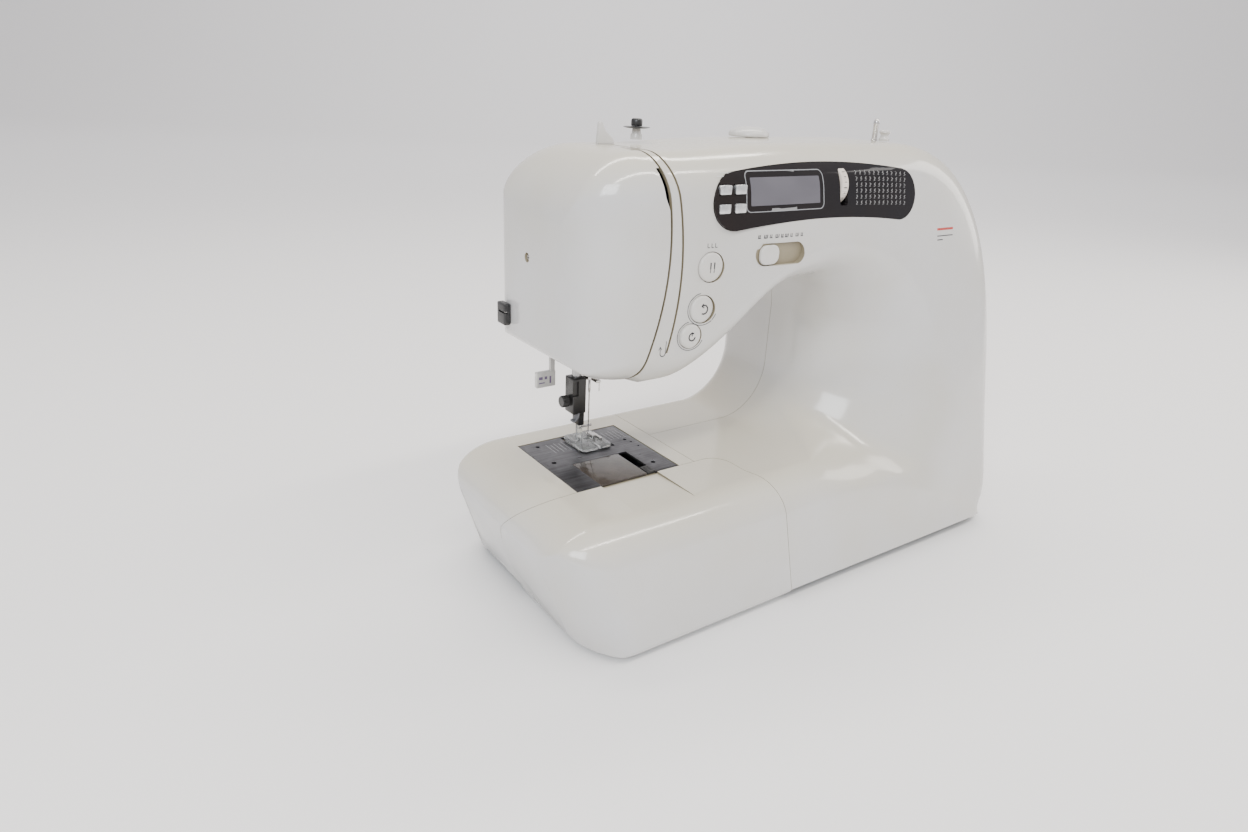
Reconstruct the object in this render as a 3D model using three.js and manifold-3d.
// A free-arm household sewing machine with a push-button panel, built as an assembly.
// Millimetres, +Z up, +X towards the handwheel, +Y towards the back.
// The origin is the middle of the surface that the machine stands on.

import * as THREE from 'three';
import { mergeVertices } from 'three/addons/utils/BufferGeometryUtils.js';
import Module from 'manifold-3d';

const wasm = await Module();
wasm.setup();

// ---------------------------------------------------------------- driving dimensions

// Housing
const bodyWidth = 454;        // nose of the bed to the right side of the pillar
const bodyDepth = 204;        // front foot of the bed to the back
const bedTop = 92;            // sewing surface above the table
const armTop = 325;
const footHeight = 5;
const wall = 2.8;
const gap = 0.3;              // between two pieces that touch
const wheelReach = 18;        // how far the handwheel stands out of the pillar
const frontLean = 0.2;        // how far the front leans back for each millimetre of height
const footRadius = 9;

// Throat: the space between the bed and the arm
const throatWallX = 40;
const throatTop = 234;
const throatRadius = 46;
const headBottom = 172;

// Seams between the covers
const coverSeamY = 38;        // front cover in front of it, rear cover behind it
const faceSeamX = -139;       // face cover to its left
const trayFront = -21;        // back edge of the accessory tray
const traySeamX = -60;

// Needle, presser foot, hook
const needle = { x: -136, y: 50 };
const presserX = needle.x - 12;
const needleBarRadius = 3.2;
const presserBarRadius = 3.6;
const hookCentre = { x: -139, y: 24 };
const bobbinRadius = 10.3;
const plate = { width: 90, depth: 89, thickness: 1.6, x: -143.5, y: 24.5 };
const bobbinCover = { left: -168, right: -120, front: trayFront - 0.2, back: 20 };

// Drive
const mainShaft = { y: 50, z: 268, radius: 5 };
const lowerShaft = { y: 45, z: 52, radius: 4 };
const runningGap = 0.25;      // between a shaft and what it turns in

// Controls
const panel = { left: -105, right: 97, bottom: 277, top: 314 };
const dial = { x: 16, z: 297, radius: 15, thickness: 7, proud: 2, window: 15.3 };
const slider = { x: -47, z: 255, width: 44, height: 15, travel: 12, knob: 17 };

// ---------------------------------------------------------------- finishes

function finish(color, roughness, metalness) {
  return { color, roughness, metalness };
}
const ivory = finish(0xdedad0, 0.25, 0);
const black = finish(0x121214, 0.3, 0);
const softBlack = finish(0x2a2a2c, 0.7, 0);
const steel = finish(0x8e8f90, 0.35, 1);
const bright = finish(0xc9cacc, 0.15, 1);
const smoky = finish(0x5a5748, 0.15, 0);
const clear = finish(0xd9dcd8, 0.1, 0);
const cast = finish(0x8b8d90, 0.6, 0.6);
const board = finish(0x1d5a3a, 0.5, 0);
const belt = finish(0x1b1b1b, 0.9, 0);

// ---------------------------------------------------------------- making solids

const machine = new THREE.Group();

/** Adds a named sub-part made of a geometry or of a manifold solid. */
function add(name, form, look, x = 0, y = 0, z = 0) {
  const geometry = form.isBufferGeometry ? form : surface(form);
  const mesh = new THREE.Mesh(geometry, new THREE.MeshStandardMaterial(look));
  mesh.name = name;
  mesh.position.set(x, y, z);
  machine.add(mesh);
  return mesh;
}

/** Turns a closed geometry into a manifold solid. */
function solid(geometry) {
  const bare = geometry.clone();
  bare.deleteAttribute('normal');
  bare.deleteAttribute('uv');
  const merged = mergeVertices(bare, 1e-4);
  const vertProperties = new Float32Array(merged.attributes.position.array);
  const triVerts = new Uint32Array(merged.index.array);
  return new wasm.Manifold(new wasm.Mesh({ numProp: 3, vertProperties, triVerts }));
}

/** Turns a manifold solid back into a geometry. */
function surface(manifold) {
  const result = manifold.getMesh();
  const geometry = new THREE.BufferGeometry();
  geometry.setAttribute('position', new THREE.BufferAttribute(result.vertProperties, 3));
  geometry.setIndex(new THREE.BufferAttribute(result.triVerts, 1));
  return geometry;
}

/** Box between two corners. */
function block(low, high) {
  const size = high.map((value, i) => value - low[i]);
  const middle = high.map((value, i) => (value + low[i]) / 2);
  return new THREE.BoxGeometry(...size).translate(...middle);
}

/** Rod that starts at the origin and runs along one axis. */
function rod(radius, length, axis = 'z', sides = 24, endRadius = radius) {
  const geometry = new THREE.CylinderGeometry(endRadius, radius, length, sides).translate(0, length / 2, 0);
  if (axis === 'x') geometry.rotateZ(-Math.PI / 2);
  if (axis === 'z') geometry.rotateX(Math.PI / 2);
  return geometry;
}

/** Solid of revolution about Z from [radius, height] points, upwards on the outside. */
function turned(points, sides = 32) {
  const outline = points.map(([radius, height]) => new THREE.Vector2(radius, height));
  return new THREE.LatheGeometry(outline, sides).rotateX(Math.PI / 2);
}

/** Plate cut from an outline of [x, y] points, lying in XY with its thickness along +Z. */
function cutPlate(outline, thickness, holes = []) {
  const points = outline instanceof THREE.Shape ? [] : outline.map(([x, y]) => new THREE.Vector2(x, y));
  const shape = outline instanceof THREE.Shape ? outline : new THREE.Shape(points);
  shape.holes.push(...holes);
  return new THREE.ExtrudeGeometry(shape, { depth: thickness, bevelEnabled: false, curveSegments: 4 });
}

/** Turns a plate that lies in XY so that its outline is [x, z] and its thickness runs along +Y. */
function upright(geometry, thickness) {
  return geometry.rotateX(Math.PI / 2).translate(0, thickness, 0);
}

/** Rounded rectangle about the origin. */
function roundedOutline(width, height, radius) {
  const shape = new THREE.Shape();
  const x = width / 2 - radius;
  const y = height / 2 - radius;
  shape.absarc(x, y, radius, 0, Math.PI / 2);
  shape.absarc(-x, y, radius, Math.PI / 2, Math.PI);
  shape.absarc(-x, -y, radius, Math.PI, 1.5 * Math.PI);
  shape.absarc(x, -y, radius, 1.5 * Math.PI, 2 * Math.PI);
  shape.closePath();
  return shape;
}

const roundHole = (x, y, radius) => new THREE.Path().absarc(x, y, radius, 0, 2 * Math.PI, true);

// ---------------------------------------------------------------- housing form
// The housing is one C-shaped form, swept from the nose of the bed to the pillar, up it and
// back along the arm to the head. Each section runs from a point on the throat side to a point
// on the outside, and from the front to the back, with rounded corners.

const bodyLeft = -(bodyWidth + wheelReach) / 2;
const bodyRight = bodyLeft + bodyWidth;
const front = -bodyDepth / 2;
const back = bodyDepth / 2;

const bedNose = { length: 42, front: 44, back: 28, top: 26 };   // rounding of the bed's left end
const noseTuck = 20;          // how far the nose's foot lies behind its widest point
const noseWidest = 58;        // height of that widest point
const noseReach = 70;         // how far the tuck reaches along the bed
const bedEdge = 24;           // rounding along the bed's front edge
const armEdge = 11;           // rounding along the arm's lower front edge
const headSetback = 41;       // from the bed's left end to the head's
const headLeft = bodyLeft + headSetback;
const headEnd = { length: 44, front: 40, back: 30, top: 46, bottom: 16 };
const headDrop = 4;           // how much lower the head's top is than the arm's
const headRecess = 59;        // from the bed's front to the head's
const headFront = front + headRecess;
const rampRight = -32;        // the arm's underside drops from here to the head's bottom
const rampLeft = -132;
const shoulderStart = 98;     // where the arm's flat top ends
const shoulderHeight = 177;   // height of the rounded shoulder of the pillar
const shoulderPower = 2.45;
const shoulderFirst = 0.12;   // angle at which the shoulder leaves the pillar's side
const baseCorner = { x: 16, z: 35 };
const scoop = { x: 15, z: 140, radius: 121, depth: 105, turn: 70, full: 98 };
// Rounding of a section's corners: at the foot, up the front and the back, on the arm's crown,
// on the throat's back edge, and under the head.
const rounding = { foot: 6, front: 28, back: 26, crown: 60, throat: 16, head: 20 };
const leastRounding = 1.5;
const quarter = Math.PI / 2;
const { lerp, clamp, smoothstep, degToRad } = THREE.MathUtils;

const leanStart = footHeight + 3.3;   // the front reaches furthest forward here
const leanFront = (z) => front + frontLean * (z - leanStart);
/** 0 on the arm and 1 on the head, with a smooth ramp between them. */
const headShare = (x) => smoothstep(rampRight - x, 0, rampRight - rampLeft);
/** Front face of the arm and the head. */
const armFront = (x, z) => lerp(leanFront(z), headFront, headShare(x));

/** Rounded shoulder between the pillar's right side and the arm's top. */
function shoulder(angle, inset) {
  const reach = bodyRight - shoulderStart - inset;
  const height = shoulderHeight - inset;
  const power = 2 / shoulderPower;
  return [
    shoulderStart + reach * Math.cos(angle) ** power,
    armTop - shoulderHeight + height * Math.sin(angle) ** power,
  ];
}

/** Outside of the pillar's foot, from the bottom of the bed round the corner and up. */
function footOutline(share, startX, endZ, inset) {
  const cornerX = bodyRight - baseCorner.x;
  const cornerZ = footHeight + baseCorner.z;
  const [turnIn, turnOut] = [0.42, 0.84];
  if (share < turnIn) return [lerp(startX, cornerX, share / turnIn), footHeight + inset];
  if (share > turnOut) return [bodyRight - inset, lerp(cornerZ, endZ, (share - turnOut) / (1 - turnOut))];
  const turn = ((share - turnIn) / (turnOut - turnIn)) * quarter;
  return [
    cornerX + (baseCorner.x - inset) * Math.sin(turn),
    cornerZ - (baseCorner.z - inset) * Math.cos(turn),
  ];
}

/** Sections of the housing, all drawn in by an inset so that the same form makes the hollow. */
function sections(inset) {
  const list = [];
  const bed = bedTop - inset;
  const top = armTop - inset;
  const bottom = footHeight + inset;
  const arcX = throatWallX - throatRadius;
  const arcRadius = throatRadius + inset;
  const lowArcZ = bedTop + throatRadius;
  const highArcZ = throatTop - throatRadius;
  const endSteps = 5;
  const none = { front: 0, back: 0 };
  const put = (inner, outer, more) => {
    list.push({ inner, outer, drawn: none, headness: 0, open: 0, ...more });
  };

  // Nose of the bed.
  for (let i = endSteps; i >= 0; i--) {
    const turn = (i / endSteps) * quarter;
    const x = bodyLeft + inset + bedNose.length * (1 - Math.sin(turn));
    const fall = 1 - Math.cos(turn);
    const drawn = { front: bedNose.front * fall, back: bedNose.back * fall };
    put([x, bed - bedNose.top * fall], [x, bottom], { drawn });
  }
  const bedMiddle = lerp(bodyLeft + bedNose.length, arcX, 0.34);
  for (const x of [bedMiddle, arcX]) put([x, bed], [x, bottom]);

  // Lower corner of the throat: the sections fan round it from the bed into the pillar.
  const fanSteps = 12;
  const fanEnd = lowArcZ - 20;
  for (let i = 1; i <= fanSteps; i++) {
    const turn = (i / fanSteps) * quarter;
    const inner = [arcX + arcRadius * Math.sin(turn), lowArcZ - arcRadius * Math.cos(turn)];
    put(inner, footOutline(i / fanSteps, arcX, fanEnd, inset), { open: smoothstep(turn, 0, 1.1) });
  }

  // Pillar, then the upper corner of the throat.
  const pillarInner = [throatWallX + inset, (lowArcZ + highArcZ) / 2];
  put(pillarInner, [bodyRight - inset, armTop - shoulderHeight], { open: 1 });
  const archSteps = 12;
  const shoulderShare = 0.66;
  for (let i = 0; i <= archSteps; i++) {
    const share = i / archSteps;
    const turn = share * quarter;
    const inner = [arcX + arcRadius * Math.cos(turn), highArcZ + arcRadius * Math.sin(turn)];
    const outer = share < shoulderShare
      ? shoulder(lerp(shoulderFirst, quarter, share / shoulderShare), inset)
      : [lerp(shoulderStart, arcX, (share - shoulderShare) / (1 - shoulderShare)), top];
    put(inner, outer, { open: 1 });
  }

  // Arm, whose underside drops in a smooth ramp to the bottom of the head.
  const rampSteps = 4;
  const stations = [(arcX + rampRight) / 2];
  for (let i = 0; i <= rampSteps; i++) stations.push(lerp(rampRight, rampLeft, i / rampSteps));
  for (const x of [...stations, headLeft + headEnd.length + inset]) {
    const headness = headShare(x);
    const under = lerp(throatTop, headBottom, headness) + inset;
    put([x, under], [x, top - headDrop * headness], { headness, open: 1 });
  }

  // Left end of the head.
  for (let i = 1; i <= endSteps; i++) {
    const turn = (i / endSteps) * quarter;
    const x = headLeft + inset + headEnd.length * (1 - Math.sin(turn));
    const fall = 1 - Math.cos(turn);
    const drawn = { front: headEnd.front * fall, back: headEnd.back * fall };
    const inner = [x, headBottom + inset + headEnd.bottom * fall];
    put(inner, [x, top - headDrop - headEnd.top * fall], { headness: 1, drawn });
  }
  return list;
}

/** Distance from a section's inner point to the rim of the scoop, along the section. */
function rimDistance(inner, direction) {
  const [dx, dz] = [inner[0] - scoop.x, inner[1] - scoop.z];
  const along = dx * direction[0] + dz * direction[1];
  const inside = along * along - (dx * dx + dz * dz - scoop.radius * scoop.radius);
  return inside > 0 ? Math.sqrt(inside) - along : 0;
}

/** Points round one section: throat side back, throat side front, outside front, outside back. */
function ring({ inner, outer, drawn, headness, open }, inset, steps = 4) {
  const length = Math.hypot(outer[0] - inner[0], outer[1] - inner[1]);
  const direction = [(outer[0] - inner[0]) / length, (outer[1] - inner[1]) / length];
  const frontAt = (z) => lerp(leanFront(z), headFront, headness) + inset + drawn.front;
  const [innerFront, outerFront] = [frontAt(inner[1]), frontAt(outer[1])];
  const slope = (outerFront - innerFront) / length;
  const rear = back - inset - drawn.back;
  const soften = (radius, draw) => Math.max(radius - inset - draw, leastRounding);
  const cornerX = bodyRight - baseCorner.x;
  const raised = outer[1] > bedTop ? 1 : smoothstep(outer[0], cornerX - 8, cornerX + 0.6 * baseCorner.x);
  const topness = smoothstep(outer[1], 250, armTop - 5);

  const rim = lerp(bedEdge, Math.max(rimDistance(inner, direction), armEdge), open);
  const share = clamp((rim - bedEdge) / (scoop.full - bedEdge), 0, 1);
  const scoopX = soften(lerp(rim, rounding.head, headness), drawn.front);
  const scoopY = Math.max(lerp(Math.min(rim, bedEdge), scoop.depth, share) - drawn.front, leastRounding);
  const scoopTurn = degToRad(lerp(90, scoop.turn, share));
  const edgeFront = soften(lerp(rounding.foot, rounding.front, raised), drawn.front);
  const edgeBack = soften(lerp(rounding.foot, rounding.back, raised), drawn.back);
  const backEdge = lerp(rounding.foot, rounding.back, raised);
  const crown = soften(lerp(backEdge, rounding.crown, topness), drawn.back);
  const throatBack = soften(rounding.throat, drawn.back);

  const points = [];
  const put = (u, y) => points.push([inner[0] + direction[0] * u, y, inner[1] + direction[1] * u]);
  const arc = (count, last, place) => {
    for (let i = 0; i <= count; i++) {
      const turn = (i / count) * last;
      place(1 - Math.cos(turn), 1 - Math.sin(turn));
    }
  };
  arc(steps, quarter, (s, c) => put(throatBack * c, rear - throatBack * s));
  arc(steps + 1, scoopTurn, (s, c) => {
    const u = (scoopX * s) / (1 - Math.cos(scoopTurn));
    const rise = (scoopY * (1 - c)) / Math.sin(scoopTurn);
    put(u, innerFront + slope * u + scoopY - rise);
  });
  arc(steps, quarter, (s, c) => {
    const u = length - edgeFront * c;
    put(u, outerFront + slope * (u - length) + edgeFront * s);
  });
  arc(steps, quarter, (s, c) => put(length - edgeBack * s, rear - crown * c));
  return points.map(tuckNose);
}

/** Draws the foot of the bed's nose in under its widest point. */
function tuckNose([x, y, z]) {
  const low = clamp((noseWidest - z) / (noseWidest - footHeight), 0, 1.1);
  const near = smoothstep(-x, -bodyLeft - noseReach, -bodyLeft);
  return [x + noseTuck * near * low * low, y, z];
}

/** Closed form swept through rings of points, with flat ends. */
function loft(rings) {
  const count = rings[0].length;
  const position = rings.flat().flat();
  const index = [];
  for (let r = 0; r + 1 < rings.length; r++) {
    for (let i = 0; i < count; i++) {
      const a = r * count + i;
      const b = r * count + ((i + 1) % count);
      index.push(a, b, b + count, a, b + count, a + count);
    }
  }
  for (const [r, flip] of [[0, true], [rings.length - 1, false]]) {
    const middle = position.length / 3;
    const centre = [0, 1, 2].map((axis) => rings[r].reduce((sum, p) => sum + p[axis], 0) / count);
    position.push(...centre);
    for (let i = 0; i < count; i++) {
      const a = r * count + i;
      const b = r * count + ((i + 1) % count);
      index.push(...(flip ? [middle, b, a] : [middle, a, b]));
    }
  }
  const geometry = new THREE.BufferGeometry();
  geometry.setAttribute('position', new THREE.Float32BufferAttribute(position, 3));
  geometry.setIndex(index);
  return geometry;
}

const bodyForm = (inset) => {
  const steps = inset ? 3 : 4;
  return solid(loft(sections(inset).map((section) => ring(section, inset, steps))));
};
const outside = bodyForm(0);
const hollow = bodyForm(wall);
const far = 400;              // reach of a cutting block past the housing

// ---------------------------------------------------------------- seams

/** Place of the seam beside the face cover, bowed towards the arm at mid-height. */
const faceSeam = (z) => faceSeamX - 0.0028 * (z - 262) ** 2;
/** Place of the threading groove, to the right of that seam. */
const grooveLine = (z) => faceSeamX + 13 - 0.0026 * (z - 250) ** 2;
const threadSlot = 3;         // open slot between the face cover and the front cover
const grooveWidth = 1.6;
const grooveBottom = 193;

/** Upright slab through the whole depth between two lines x(z). */
function slab(leftLine, rightLine, bottom, top, yLow = -far, yHigh = far) {
  const steps = 12;
  const points = [];
  for (let i = 0; i <= steps; i++) {
    const z = lerp(bottom, top, i / steps);
    points.push([rightLine(z), z]);
  }
  for (let i = steps; i >= 0; i--) {
    const z = lerp(bottom, top, i / steps);
    points.push([leftLine(z), z]);
  }
  return solid(upright(cutPlate(points, yHigh - yLow), yHigh - yLow).translate(0, yLow, 0));
}

const cut = (low, high) => solid(block(low, high));

// The accessory tray takes the front of the bed and wraps round the foot of the free arm's nose.
const trayCorner = 16;
const trayFlare = 14;         // how far its right side spreads towards the front
const noseWallX = bodyLeft + 34;
const noseBulge = 38;         // how far the tray reaches back round the nose
const trayTopZ = bedTop + 20;
const below = -10;             // lower than anything that is cut

function trayZone(extra, openBack = 0) {
  const right = traySeamX + extra;
  const rear = trayFront + extra + openBack;
  const plan = new THREE.Shape();
  plan.moveTo(-far, -far);
  plan.lineTo(right + trayFlare * 2, -far / 2);
  plan.lineTo(right + trayFlare, front);
  plan.lineTo(right, rear - 2 * trayCorner - openBack);
  plan.absarc(right - trayCorner, rear - trayCorner, trayCorner, 0, quarter);
  plan.lineTo(-far, rear);
  const middle = solid(cutPlate(plan, trayTopZ + far).translate(0, 0, -far));

  const steps = 10;
  const side = [[-far, trayTopZ]];
  for (let i = 0; i <= steps; i++) {
    const z = lerp(trayTopZ, below, i / steps);
    const bulge = Math.sin(clamp((bedTop - z) / bedTop, 0, 1) * 0.8 * Math.PI);
    side.push([trayFront + extra + noseBulge * bulge, z]);
  }
  side.push([-far, below]);
  // The outline is [y, z]; it is swept along X up to the wall of the nose.
  const swept = cutPlate(side, far).rotateX(quarter).rotateZ(quarter);
  return middle.add(solid(swept.translate(noseWallX - far + extra, 0, 0)));
}

const faceZone = (shift) => slab(() => -far, (z) => faceSeam(z) + shift, 120, far);
const freeArmX = traySeamX - trayCorner - 8;
const freeArmZone = (shift) => cut([-far, -far, -far], [freeArmX + shift, far, bedTop + 30]);
const upperSeamY = coverSeamY + 22;
const upperSeamZ = 285;
const rearZone = (shift) => cut([-far, coverSeamY + shift, -far], [far, far, upperSeamZ - shift])
  .add(cut([-far, upperSeamY + shift, upperSeamZ - 1], [far, far, far]));

// ---------------------------------------------------------------- cutters for what sits in the covers

const panelCentreX = (panel.left + panel.right) / 2;

/** Arch-shaped outline of the control panel in X and Z, grown by a margin. */
function panelOutline(grow) {
  const rise = 5;
  const radius = (panel.top - panel.bottom) / 2 + grow;
  const middle = (panel.top + panel.bottom) / 2 - rise;
  const left = panel.left + radius - grow;
  const right = panel.right - radius + grow;
  const shape = new THREE.Shape();
  shape.moveTo(left, middle - radius);
  shape.quadraticCurveTo(panelCentreX, middle - radius + 2 * rise, right, middle - radius);
  shape.absarc(right, middle, radius, -quarter, quarter);
  shape.quadraticCurveTo(panelCentreX, middle + radius + 2 * rise, left, middle + radius);
  shape.absarc(left, middle, radius, quarter, 3 * quarter);
  return shape;
}

const through = (outline, low, high) => solid(upright(cutPlate(outline, high - low), high - low)
  .translate(0, low, 0));
const panelCut = (grow) => through(panelOutline(grow), front - gap, headFront + 33);

const keyColumns = [panel.left + 8.6, panel.left + 21.6];
const keyRows = [panel.top - 15.5, panel.top - 27.5];
const keys = keyRows.flatMap((z) => keyColumns.map((x) => [x, z]));
const keySize = { width: 9.4, height: 6 };
const dialY = armFront(dial.x, dial.z) + dial.radius - dial.proud;
const roundKeys = [
  { name: 'needle_stop_button', x: -104, z: 249, radius: 10 },
  { name: 'reverse_button', x: -109, z: 221, radius: 9.5 },
  { name: 'start_button', x: -117, z: 203, radius: 8.5 },
];
const sliderFace = armFront(slider.x - slider.width / 4, slider.z);

const keyHole = (x, z, grow) => cut(
  [x - keySize.width / 2 - grow, front, z - keySize.height / 2 - grow],
  [x + keySize.width / 2 + grow, 0, z + keySize.height / 2 + grow],
);

// ---------------------------------------------------------------- covers

const baseThickness = 3;
const baseOpeningTop = footHeight + 7;
const opening = hollow.translate([0, 0, -wall - 1])
  .intersect(cut([-far, -far, -far], [far, far, baseOpeningTop]));
const mainOuter = outside.subtract(trayZone(gap));
const mainHollow = hollow.subtract(trayZone(gap + wall));
const mainOpening = opening.subtract(trayZone(gap + wall));
const mainShell = mainOuter.subtract(mainHollow).subtract(mainOpening);

// Pieces that stand out of the housing and the room that each needs.
const wheel = { radius: 30, thickness: wheelReach - 0.6, hub: 11, hubLength: 30 };
const spindle = { x: 139, y: 36, radius: 3, top: 341 };
const winderStop = { x: 152, y: 36, radius: 5 };
const spoolPin = { x: 6, y: 50, radius: 3, capRadius: 16, height: 44 };
const tensionPost = { x: -111, y: 38, radius: 4 };
const wheelHole = solid(rod(wheel.hub + gap, wheel.hubLength + 20, 'x', 32)
  .translate(bodyRight - wheel.hubLength - 10, mainShaft.y, mainShaft.z));
// Opening in the bottom of the head for the needle bar, presser bar and levers.
const barOpening = cut(
  [presserX - 18, needle.y - 26, headBottom - 22],
  [needle.x + 28, needle.y + 42, headBottom + 28],
);

let frontCover = mainShell.subtract(rearZone(0)).subtract(faceZone(threadSlot)).subtract(freeArmZone(gap))
  .subtract(slab((z) => grooveLine(z) - grooveWidth, grooveLine, grooveBottom, far, -far, 20));
for (const cutter of [
  panelCut(gap),
  ...roundKeys.map(({ x, z, radius }) => (
    solid(rod(radius + gap, 50, 'y').translate(x, headFront - 27, z))
  )),
  ...[spindle, spoolPin].map(({ x, y, radius }) => (
    solid(rod(radius + gap, 60).translate(x, y, armTop - 35))
  )),
  wheelHole,
  barOpening,
]) frontCover = frontCover.subtract(cutter);
const sliderTrack = roundedOutline(slider.width, slider.height, slider.height / 2 - 0.01);
const trackDepth = 1.7;
frontCover = frontCover.subtract(
  solid(upright(cutPlate(sliderTrack, 20), 20).translate(slider.x, sliderFace - 20 + trackDepth, slider.z)),
);

const socket = { y: 60, z: 62, width: 30, height: 22, depth: 14 };
const rocker = { y: 12, z: 62, width: 20, height: 26 };
const sideHole = ({ y, z, width, height }, grow) => cut(
  [bodyRight - 14, y - width / 2 - grow, z - height / 2 - grow],
  [bodyRight + 5, y + width / 2 + grow, z + height / 2 + grow],
);

let rearCover = mainShell.intersect(rearZone(gap)).subtract(faceZone(gap)).subtract(freeArmZone(gap));
for (const cutter of [
  wheelHole,
  barOpening,
  sideHole(socket, gap),
]) rearCover = rearCover.subtract(cutter);
frontCover = frontCover.subtract(sideHole(rocker, gap));

const faceScrew = { y: 42, z: 246, radius: 3.2 };
const faceCover = mainShell.intersect(faceZone(0))
  .subtract(barOpening)
  .subtract(solid(rod(faceScrew.radius + gap, 40, 'x').translate(headLeft - 10, faceScrew.y, faceScrew.z)));

const plateLow = [plate.x - plate.width / 2, plate.y - plate.depth / 2];
const plateHigh = [plate.x + plate.width / 2, plate.y + plate.depth / 2];
const plateBottom = bedTop - plate.thickness;
const ledge = 4;              // rim that the needle plate rests on
const freeArm = mainShell.intersect(freeArmZone(0))
  .subtract(cut(
    [plateLow[0] - gap, plateLow[1] - gap - 2, plateBottom - gap],
    [plateHigh[0] + gap, plateHigh[1] + gap, far],
  ))
  .subtract(cut(
    [plateLow[0] + ledge, plateLow[1] + ledge, bedTop - 22],
    [plateHigh[0] - ledge, plateHigh[1] - ledge, far],
  ));

const coverRamp = { left: bobbinCover.left - 1, right: bobbinCover.right + 1, length: 56, depth: 1.9 };
const traySolid = outside.intersect(trayZone(0));
const trayHollow = hollow.intersect(trayZone(-wall, wall + 1));
const rampOutline = [[-1, 0], [0, -coverRamp.depth], [coverRamp.length, 0], [coverRamp.length, 5], [-1, 5]];
const ramp = through(rampOutline, 0, coverRamp.right - coverRamp.left)
  .rotate([0, 0, -90]).translate([coverRamp.left, trayFront, bedTop]);
const tray = traySolid.subtract(trayHollow).subtract(ramp);

add('front_cover', frontCover, ivory);
add('rear_cover', rearCover, ivory);
add('face_cover', faceCover, ivory);
add('free_arm_cover', freeArm, ivory);
add('accessory_tray', tray, ivory);

// ---------------------------------------------------------------- base and feet

const baseInset = wall + 4 * gap;
const baseBottom = footHeight + 1;
const basePlate = bodyForm(baseInset).translate([0, 0, -baseInset])
  .intersect(cut([-far, -far, baseBottom], [far, far, baseBottom + baseThickness]))
  .subtract(trayZone(gap + wall + gap));
add('base_plate', basePlate, softBlack);

const footHigh = baseBottom - gap;
const footX = { left: bodyLeft + 40, middle: traySeamX + 34, right: bodyRight - 28 };
const footY = back - 24;
const footPlaces = [
  [footX.left, footY], [footX.right, footY], [footX.right, -footY], [footX.middle, -footY],
];
footPlaces.forEach(([x, y], i) => {
  const profile = [[0, 0], [footRadius - 1.5, 0], [footRadius, 1.5], [footRadius, footHigh], [0, footHigh]];
  add(`foot_${i + 1}`, turned(profile, 16), softBlack, x, y, 0);
});

// ---------------------------------------------------------------- controls

/** Upright cap with rounded corners, whose front face is at the origin. */
function keycap(width, height, thickness, radius) {
  return upright(cutPlate(roundedOutline(width, height, radius), thickness), thickness);
}

const panelThickness = 2.4;
let controlPanel = outside.subtract(bodyForm(panelThickness)).intersect(panelCut(0));
for (const [x, z] of keys) controlPanel = controlPanel.subtract(keyHole(x, z, gap));
const dialHalf = dial.thickness / 2 + 2 * gap;
const dialSlot = cut(
  [dial.x - dialHalf, front, dial.z - dial.window],
  [dial.x + dialHalf, 0, dial.z + dial.window],
);
controlPanel = controlPanel.subtract(dialSlot);
add('control_panel', controlPanel, black);

const keyThickness = 3;
const keyProud = 2.2;
const keyCorner = 1.2;
keys.forEach(([x, z], i) => {
  const cap = keycap(keySize.width, keySize.height, keyThickness, keyCorner);
  add(`panel_button_${i + 1}`, cap, bright, x, armFront(x, z) - keyProud, z);
});

const dialProfile = [
  [0, -dial.thickness / 2], [dial.radius - 1, -dial.thickness / 2], [dial.radius, 1 - dial.thickness / 2],
  [dial.radius, dial.thickness / 2 - 1], [dial.radius - 1, dial.thickness / 2], [0, dial.thickness / 2],
];
add('tension_dial', turned(dialProfile, 32).rotateY(quarter), ivory, dial.x, dialY, dial.z);

const knobHeight = 3.2;
add(
  'speed_slider',
  keycap(slider.knob, slider.height - 2 * gap - 1, knobHeight, 5),
  ivory, slider.x - slider.travel + 1, sliderFace + trackDepth - gap - knobHeight, slider.z,
);

const buttonProud = 1.6;
const buttonHeight = 7.6 + buttonProud;
for (const { name, x, z, radius } of roundKeys) {
  const cap = [
    [0, 0], [radius, 0], [radius, buttonHeight - 1.6], [radius - 1.2, buttonHeight - 0.6],
    [0, buttonHeight],
  ];
  add(name, turned(cap, 24).rotateX(quarter), ivory, x, headFront + 5.5, z);
}

// ---------------------------------------------------------------- right side

const wheelX = bodyRight + 0.6;
const wheelBore = mainShaft.radius + runningGap;
const wheelProfile = [
  [wheelBore, -wheel.hubLength], [wheel.hub, -wheel.hubLength], [wheel.hub, 0],
  [wheel.radius - 3, 0], [wheel.radius, 3], [wheel.radius, wheel.thickness - 4],
  [wheel.radius - 4, wheel.thickness], [wheel.radius - 9, wheel.thickness],
  [wheel.radius - 12, wheel.thickness - 3],
  [wheelBore, wheel.thickness - 3], [wheelBore, -wheel.hubLength],
];
const onX = (geometry) => geometry.rotateY(quarter);
add('handwheel', onX(turned(wheelProfile, 32)), ivory, wheelX, mainShaft.y, mainShaft.z);

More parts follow.
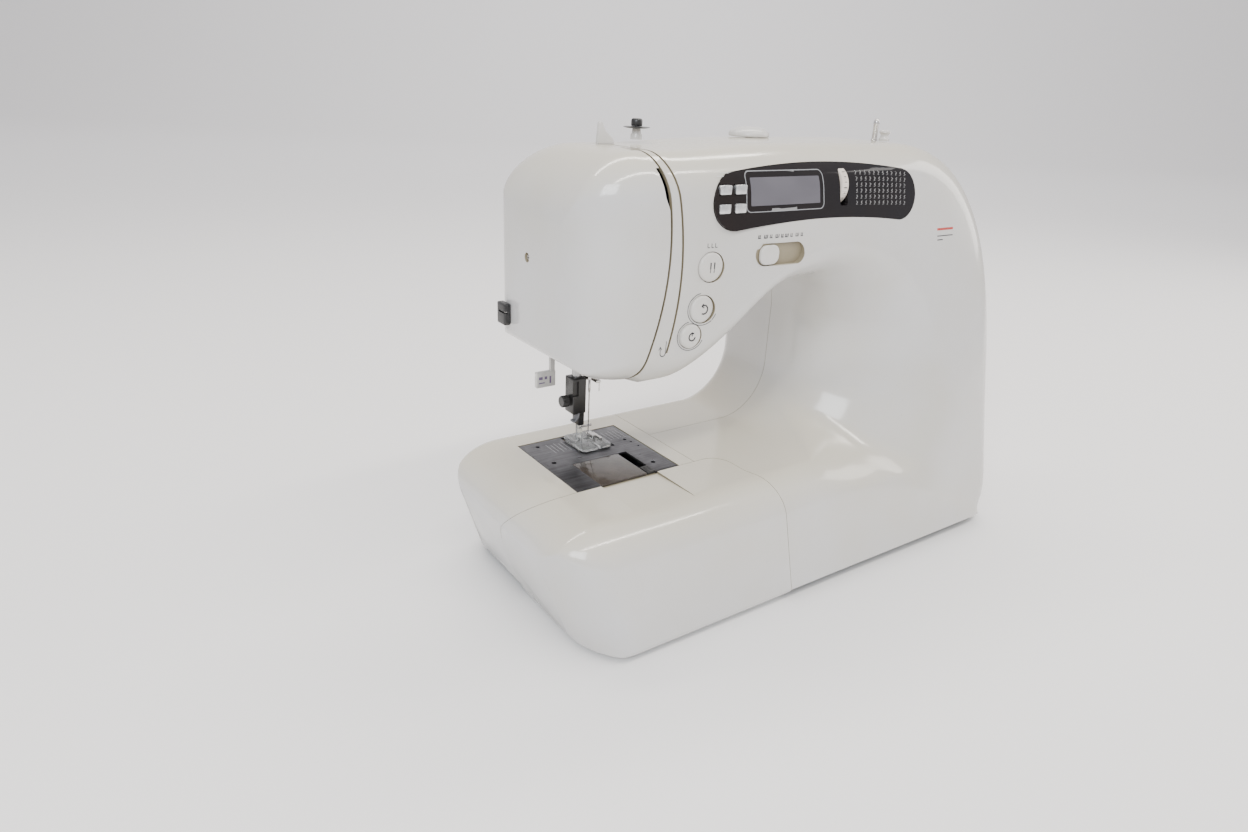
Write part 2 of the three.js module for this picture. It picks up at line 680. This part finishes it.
const socketX = bodyRight - socket.depth;
const socketWell = { width: 18, height: 13, floor: 3 };
const pin = { radius: 1.2, length: socket.depth - 5, spacing: 8 };
let inlet = cut(
  [socketX, socket.y - socket.width / 2, socket.z - socket.height / 2],
  [bodyRight + gap, socket.y + socket.width / 2, socket.z + socket.height / 2],
).subtract(cut(
  [socketX + socketWell.floor, socket.y - socketWell.width / 2, socket.z - socketWell.height / 2],
  [bodyRight + 5, socket.y + socketWell.width / 2, socket.z + socketWell.height / 2],
));
for (const side of [-1, 1]) {
  const prong = rod(pin.radius, pin.length, 'x', 12);
  inlet = inlet.add(solid(prong.translate(socketX + 2, socket.y + (side * pin.spacing) / 2, socket.z)));
}
add('power_inlet', inlet, softBlack);

const rockerMargin = 2;        // room for it to rock in its hole
const rockerHalf = rocker.height / 2 - rockerMargin;
const rockerWidth = rocker.width - rockerMargin;
const rockerDepth = 11;
const rockerOutline = [
  [0, -rockerHalf], [rockerDepth, -rockerHalf], [rockerDepth - 1.5, 0], [rockerDepth, rockerHalf],
  [0, rockerHalf],
];
const rockerShape = upright(cutPlate(rockerOutline, rockerWidth), rockerWidth);
const rockerProud = 0.8;
add('power_switch', rockerShape.translate(0, -rockerWidth / 2, 0), softBlack,
  bodyRight - rockerDepth + rockerProud, rocker.y, rocker.z);

// ---------------------------------------------------------------- top

const spindleLong = 64;
const spindleProfile = [
  [0, 0], [spindle.radius, 0], [spindle.radius, spindleLong - 2], [spindle.radius - 1, spindleLong],
  [0, spindleLong],
];
add('winder_spindle', turned(spindleProfile, 20), bright, spindle.x, spindle.y, spindle.top - spindleLong);

const winderProfile = [
  [0, 0], [winderStop.radius, 0], [winderStop.radius - 1.5, 5], [winderStop.radius, 9], [0, 9],
];
add('winder_stop', turned(winderProfile, 20), ivory, winderStop.x, winderStop.y, armTop - 2.2);

const pinTop = armTop + gap;
const pinProfile = [
  [0, -spoolPin.height], [spoolPin.radius, -spoolPin.height], [spoolPin.radius, 0], [spoolPin.capRadius, 0],
  [spoolPin.capRadius - 1, 3], [spoolPin.capRadius - 7, 6.5], [0, 7.5],
];
add('spool_pin', turned(pinProfile, 28), ivory, spoolPin.x, spoolPin.y, pinTop);

// The post stands on the head's top, with a spring disc and a set screw stacked on it.
const postFoot = armTop - 1.4;
const postHeight = 7;
const disc = { radius: 9.5, thickness: 1.2 };
const setScrew = { radius: 4, height: 5 };
const stackOn = (name, profile, look, z) => {
  add(name, turned(profile, 24), look, tensionPost.x, tensionPost.y, z);
};
stackOn('tension_post', [
  [0, 0], [tensionPost.radius, 0], [tensionPost.radius, postHeight], [0, postHeight],
], ivory, postFoot);
stackOn('tension_disc', [[0, 0], [disc.radius - 0.5, 0], [disc.radius, disc.thickness / 2],
  [disc.radius - 0.5, disc.thickness], [0, disc.thickness]], black, postFoot + postHeight + gap);
stackOn('tension_screw', [[0, 0], [setScrew.radius, 0], [setScrew.radius, setScrew.height - 1],
  [setScrew.radius - 1, setScrew.height], [0, setScrew.height]],
black, postFoot + postHeight + disc.thickness + 2 * gap);

const fin = { x: needle.x - 5, y: 30, thickness: 3 };
const finOutline = [[-7, 0], [7, 0], [-4, 13], [-6, 13]];
const finFoot = armTop - headDrop + 1.4;
const finPlate = upright(cutPlate(finOutline, fin.thickness), fin.thickness);
add('thread_fin', finPlate, ivory, fin.x, fin.y, finFoot);

// ---------------------------------------------------------------- frame

const frameY = 66;
const frameThickness = 6;
// A cast plate that follows the housing: along the bed, up the pillar and out to the head.
const bedCasting = { left: headLeft + 9, bottom: 16, top: bedTop - 18 };
const pillarCasting = { left: throatWallX + 22, right: bodyRight - 22 };
const armCasting = { left: presserX - 24, bottom: throatTop + 16, top: armTop - 25 };
const guideHeights = [headBottom + 24, armCasting.top - 16];
const shoulderAngles = [0.4, 0.8, 1.12];
const shoulderClearance = 15;  // from the covers' outside to the casting's rounded corner
const frameOutline = [
  [bedCasting.left, bedCasting.bottom], [pillarCasting.right, bedCasting.bottom],
  ...shoulderAngles.map((angle) => shoulder(angle, shoulderClearance)), [armCasting.left, armCasting.top],
  [armCasting.left, guideHeights[0]], [needle.x + 32, guideHeights[0]], [needle.x + 56, armCasting.bottom],
  [throatWallX, armCasting.bottom], [pillarCasting.left, throatTop - 6], [pillarCasting.left, bedTop + 28],
  [throatWallX - 10, bedCasting.top], [bedCasting.left, bedCasting.top],
];
const lugWidth = 10;
const lugs = [
  { x: needle.x + 36, shaft: mainShaft }, { x: pillarCasting.right - 36, shaft: mainShaft },
  { x: needle.x + 36, shaft: lowerShaft }, { x: throatWallX - 20, shaft: lowerShaft },
];
const lugMargin = 5;           // casting round a shaft's bore
const guideMargin = 8;         // casting round a bar's bore
let frame = solid(upright(cutPlate(frameOutline, frameThickness), frameThickness).translate(0, frameY, 0));
for (const { x, shaft } of lugs) {
  const reach = shaft.radius + lugMargin;
  frame = frame.add(cut(
    [x - lugWidth / 2, shaft.y - reach, shaft.z - reach],
    [x + lugWidth / 2, frameY + 1, shaft.z + reach],
  ));
}
for (const z of guideHeights) {
  frame = frame.add(cut(
    [presserX - guideMargin, needle.y - guideMargin, z],
    [needle.x + guideMargin, frameY + 1, z + guideMargin],
  ));
  for (const [x, radius] of [[needle.x, needleBarRadius], [presserX, presserBarRadius]]) {
    const bore = rod(radius + runningGap, 3 * guideMargin).translate(x, needle.y, z - guideMargin);
    frame = frame.subtract(solid(bore));
  }
}
const hookShelf = { bottom: lowerShaft.z - 14, thickness: 5, half: 12 };
const hookStem = 4;
frame = frame
  .add(cut(
    [hookCentre.x - hookShelf.half, hookCentre.y - hookShelf.half, hookShelf.bottom],
    [hookCentre.x + hookShelf.half, frameY + 1, hookShelf.bottom + hookShelf.thickness],
  ))
  .subtract(solid(
    rod(hookStem + runningGap, 20).translate(hookCentre.x, hookCentre.y, hookShelf.bottom - 5),
  ));
for (const { y, z, radius } of [mainShaft, lowerShaft]) {
  frame = frame.subtract(solid(rod(radius + runningGap, 2 * far, 'x').translate(-far, y, z)));
}
add('main_frame', frame, cast);

// ---------------------------------------------------------------- drive

/** Shaft of a given length that starts at the origin, with a disc turned on it. */
function discShaft(radius, length, disc) {
  return onX(turned([
    [0, 0], [radius, 0], [radius, disc.at], [disc.radius, disc.at], [disc.radius, disc.at + disc.width],
    [radius, disc.at + disc.width], [radius, length], [0, length],
  ], 24));
}

const shaftLeft = -118;
const mainShaftLength = wheelX + wheel.thickness - 5 - shaftLeft;
add('main_shaft', discShaft(mainShaft.radius, mainShaftLength, { at: 1, width: 7, radius: 14 }), steel,
  shaftLeft, mainShaft.y, mainShaft.z);

const lowerShaftLeft = -172;
const hookGear = { at: hookCentre.x - 8 - lowerShaftLeft, width: 16, radius: 8 };
add('lower_shaft', discShaft(lowerShaft.radius, 80 - lowerShaftLeft, hookGear), steel,
  lowerShaftLeft, lowerShaft.y, lowerShaft.z);

const pulleyX = 66;
const pulley = { radius: 14, width: 9 };
for (const [name, shaft] of [['upper_pulley', mainShaft], ['lower_pulley', lowerShaft]]) {
  const bore = shaft.radius + runningGap;
  const profile = [
    [bore, 0], [pulley.radius, 0], [pulley.radius, pulley.width], [bore, pulley.width], [bore, 0],
  ];
  add(name, onX(turned(profile, 28)), steel, pulleyX, shaft.y, shaft.z);
}

/** Flat belt round two pulleys of like size, open inside. */
function beltLoop(low, high, lowRadius, highRadius, width, thickness) {
  const along = Math.atan2(high.z - low.z, high.y - low.y);
  const outline = (grow, path) => {
    path.absarc(low.y, low.z, lowRadius + grow, along + quarter, along - quarter + 2 * Math.PI);
    path.absarc(high.y, high.z, highRadius + grow, along - quarter, along + quarter);
    path.closePath();
    return path;
  };
  const shape = outline(thickness + gap, new THREE.Shape());
  shape.holes.push(outline(gap, new THREE.Path()));
  return new THREE.ExtrudeGeometry(shape, { depth: width, bevelEnabled: false, curveSegments: 12 })
    .rotateX(quarter).rotateZ(quarter);
}
const beltWidth = 8;
const beltThickness = 1.6;
const timingBelt = beltLoop(lowerShaft, mainShaft, pulley.radius, pulley.radius, beltWidth, beltThickness);
add('timing_belt', timingBelt, belt, pulleyX + (pulley.width - beltWidth) / 2, 0, 0);

const motor = { x: 96, y: 18, z: 66, radius: 27, length: 60 };
const motorPulleyX = motor.x + motor.length + 6;
const motorBody = turned([
  [0, -2], [6, -2], [6, 0], [motor.radius, 0], [motor.radius, motor.length], [5, motor.length],
  [5, motor.length + 2], [0, motor.length + 2],
], 20);
add('motor', onX(motorBody), cast, motor.x, motor.y, motor.z);
const smallPulley = 7;
const bigPulley = 15.5;
add('motor_pulley', onX(turned([[0, 0], [smallPulley, 0], [smallPulley, 9], [0, 9]], 20)), steel,
  motorPulleyX, motor.y, motor.z);
add('drive_pulley', onX(turned([[mainShaft.radius + runningGap, 0], [bigPulley, 0], [bigPulley, 9],
  [mainShaft.radius + runningGap, 9], [mainShaft.radius + runningGap, 0]], 32)), softBlack,
motorPulleyX + 5, mainShaft.y, mainShaft.z);

// ---------------------------------------------------------------- needle, presser foot and threading

const barBottom = bedTop + 54;
const tipZ = bedTop + 4;
const barLength = armTop - 29 - barBottom;
const bar = turned([[0, 0], [needleBarRadius, 0], [needleBarRadius, barLength], [0, barLength]], 16);
add('needle_bar', bar, steel, needle.x, needle.y, barBottom);

const clampBore = needleBarRadius + 0.15;
const clampOuter = 5.6;
const screwReach = 17;
const clampHeight = 7;
const collar = turned([
  [clampBore, 0], [clampOuter, 0], [clampOuter, clampHeight], [clampBore, clampHeight], [clampBore, 0],
], 20);
const clampBlock = solid(collar)
  .add(cut([clampBore + 0.4, -3.6, 0], [10, 3.6, 7]))
  .add(cut([-2, -13, 0], [2, -clampBore - 0.4, 2]))
  .subtract(solid(rod(2.2, 10, 'x', 12).translate(7, 0, 3.5)));
add('needle_clamp', clampBlock, bright, needle.x, needle.y, barBottom + 0.5);
const clampScrew = turned([
  [0, 0], [1.9, 0], [1.9, 4], [3.4, 4], [3.4, screwReach - 8], [0, screwReach - 8],
], 14);
add('clamp_screw', onX(clampScrew), bright, needle.x + 8, needle.y, barBottom + 4);

const shank = 1;
const blade = 0.55;
const needleLength = barBottom - gap - tipZ;
const needleProfile = [
  [0, 0], [blade, 7], [blade, needleLength - 12], [shank, needleLength - 9], [shank, needleLength],
  [0, needleLength],
];
add('needle', turned(needleProfile, 12), bright, needle.x, needle.y, tipZ);

const presserBottom = bedTop + 36;
const presserBar = rod(presserBarRadius, armTop - 25 - presserBottom, 'z', 16);
add('presser_bar', presserBar, steel, presserX, needle.y, presserBottom);

const holderFoot = bedTop + 29;
const holderHeight = 29;
const holderBore = presserBarRadius + 0.15;
const holder = solid(block([-6.5, -7, 0], [5, 6, holderHeight]))
  .subtract(solid(rod(holderBore, 60).translate(0, 0, presserBottom - holderFoot - gap)))
  .subtract(solid(rod(2.2, 10, 'x', 12).translate(-10, 0, 10)))
  .add(solid(block([0, -5, -11], [5, 5, 1])));
add('foot_holder', holder, softBlack, presserX, needle.y, holderFoot);
add('holder_screw', onX(turned([[0, 0], [4.6, 0], [4.6, 6], [1.9, 6], [1.9, 9.5], [0, 9.5]], 16)),
  black, presserX - 13.4, needle.y, holderFoot + 10);

const footSize = { width: 27, length: 33, thickness: 2.4 };
const footBottom = bedTop + 0.5;
const footPlateOutline = roundedOutline(footSize.width, footSize.length, 4);
const presserFoot = solid(cutPlate(footPlateOutline, footSize.thickness, [roundHole(0, 0, 3.2)]))
  .add(cut([-9.5, -2.5, 1], [-5.8, 2.5, 16.6]))
  .subtract(cut([-2, -footSize.length, -1], [2, -8, 10]));
add('presser_foot', presserFoot, clear, needle.x - 1.2, needle.y - 1, footBottom);

const lifter = solid(block([-5, 0, -4], [5, 5, 10])).add(solid(block([-5, 0, -24], [5, 3.5, -3])))
  .add(solid(block([-6, 0, -30], [6, 11, -23])));
add('foot_lifter', lifter, ivory, needle.x + 14, 78, headBottom + 10);

const tagTop = headBottom - 26;
const buttonholeLever = solid(block([-8.5, 0, 0], [8.5, 4, 13]))
  .add(solid(block([4, 0.4, 12], [8, 3.4, 50])));
add('buttonhole_lever', buttonholeLever, ivory, presserX - 10, 79, tagTop - 13);

add('thread_cutter', block([-3, -6, -8], [2.4, 6, 8]), black, headLeft - 2.7, 72, 200);

// The lever's outline is [y, z] about its pivot; its eye is at the front end.
const takeUp = { x: faceSeamX + 0.8, y: 26, z: 262, thickness: 1.4 };
const leverOutline = [[5, -4], [5, 4], [-26, 4], [-48, 6], [-60, 9], [-60, 4], [-46, 0], [-26, -4]];
const leverPlate = cutPlate(leverOutline, takeUp.thickness, [roundHole(-55, 5.4, 1.4)]);
add('take_up_lever', leverPlate.rotateX(quarter).rotateZ(quarter), bright, takeUp.x, takeUp.y, takeUp.z);

const faceScrewProfile = [
  [0, 0], [faceScrew.radius, 0], [faceScrew.radius, 2.2], [1.6, 2.2], [1.6, 12], [0, 12],
];
add('face_screw', onX(turned(faceScrewProfile, 16)), steel, headLeft + 1, faceScrew.y, faceScrew.z);

// ---------------------------------------------------------------- needle plate, hook and feed

const feed = { slots: [-14, -8, 8, 14], slotWidth: 3, front: 34, back: 67, travel: 2.5, toothWidth: 2 };
let needlePlate = cut(
  [plateLow[0], plateLow[1], plateBottom],
  [plateHigh[0], plateHigh[1], bedTop],
)
  .subtract(cut([bobbinCover.left - gap, -far, 0], [bobbinCover.right + gap, bobbinCover.back + gap, far]))
  .subtract(cut([needle.x - 3.5, needle.y - 1.2, 0], [needle.x + 3.5, needle.y + 1.2, far]));
for (const offset of feed.slots) {
  const x = needle.x + offset;
  needlePlate = needlePlate.subtract(
    cut([x - feed.slotWidth / 2, feed.front, 0], [x + feed.slotWidth / 2, feed.back, far]),
  );
}
add('needle_plate', needlePlate, steel);

const latchWidth = 7;
add('bobbin_cover', block(
  [bobbinCover.left, bobbinCover.front + 1.5, plateBottom],
  [bobbinCover.right - latchWidth - gap, bobbinCover.back, bedTop],
), smoky);
add('cover_latch', block(
  [bobbinCover.right - latchWidth, bobbinCover.front + 1.5, plateBottom],
  [bobbinCover.right, bobbinCover.front + 12, bedTop + 0.6],
), black);

const dogTop = bedTop - 0.4;
const dogBase = bedTop - 8;
// The needle's gap in it leaves room for the whole of its walk.
const needleGap = feed.travel + 1.9;
let feedDog = cut([-17, -12, 0], [17, 12, 3]).subtract(cut([-6, -needleGap, -1], [6, needleGap, 5]));
for (const offset of feed.slots) {
  feedDog = feedDog.add(cut(
    [offset - feed.toothWidth / 2, -12, 2],
    [offset + feed.toothWidth / 2, 12, dogTop - dogBase],
  ));
}
add('feed_dog', feedDog, steel, needle.x, needle.y, dogBase);

const wallOf = (inner, outer, floor, height) => [
  [0, 0], [outer, 0], [outer, height], [inner, height], [inner, floor], [0, floor],
];
// The hook's cup stands on a stem that turns in the frame's shelf and carries a gear beside the shaft.
const hookFloor = bedTop - 28;
const stemFoot = lowerShaft.z - 24 - hookFloor;
const stemGear = { low: lowerShaft.z - 4 - hookFloor, high: lowerShaft.z + 6 - hookFloor, radius: 9 };
const hookShape = [
  [0, stemFoot], [hookStem, stemFoot], [hookStem, stemGear.low], [stemGear.radius, stemGear.low],
  [stemGear.radius, stemGear.high], [hookStem, stemGear.high], [hookStem, 0], [21, 0], [21, 16],
  [17.2, 16], [17.2, 2], [0, 2],
];
add('hook', turned(hookShape, 24), steel, hookCentre.x, hookCentre.y, hookFloor);
const bobbinCase = turned(wallOf(12, 16.6, 2, 15), 28);
add('bobbin_case', bobbinCase, softBlack, hookCentre.x, hookCentre.y, hookFloor + 2.4);
const bobbinHeight = 11.4;
const bobbinProfile = [[0, 0], [bobbinRadius, 0], [bobbinRadius, 1], [4, 1], [4, bobbinHeight - 1],
  [bobbinRadius, bobbinHeight - 1], [bobbinRadius, bobbinHeight], [0, bobbinHeight]];
add('bobbin', turned(bobbinProfile, 28), clear, hookCentre.x, hookCentre.y, hookFloor + 4.8);

// ---------------------------------------------------------------- circuit board

const boardFront = dialY + dial.radius + 2;
const boardThickness = 1.6;
add('circuit_board', block(
  [panel.left + 6, boardFront, panel.bottom - 15],
  [panel.right - 10, boardFront + boardThickness, panel.top - 8],
), board);

export default machine;
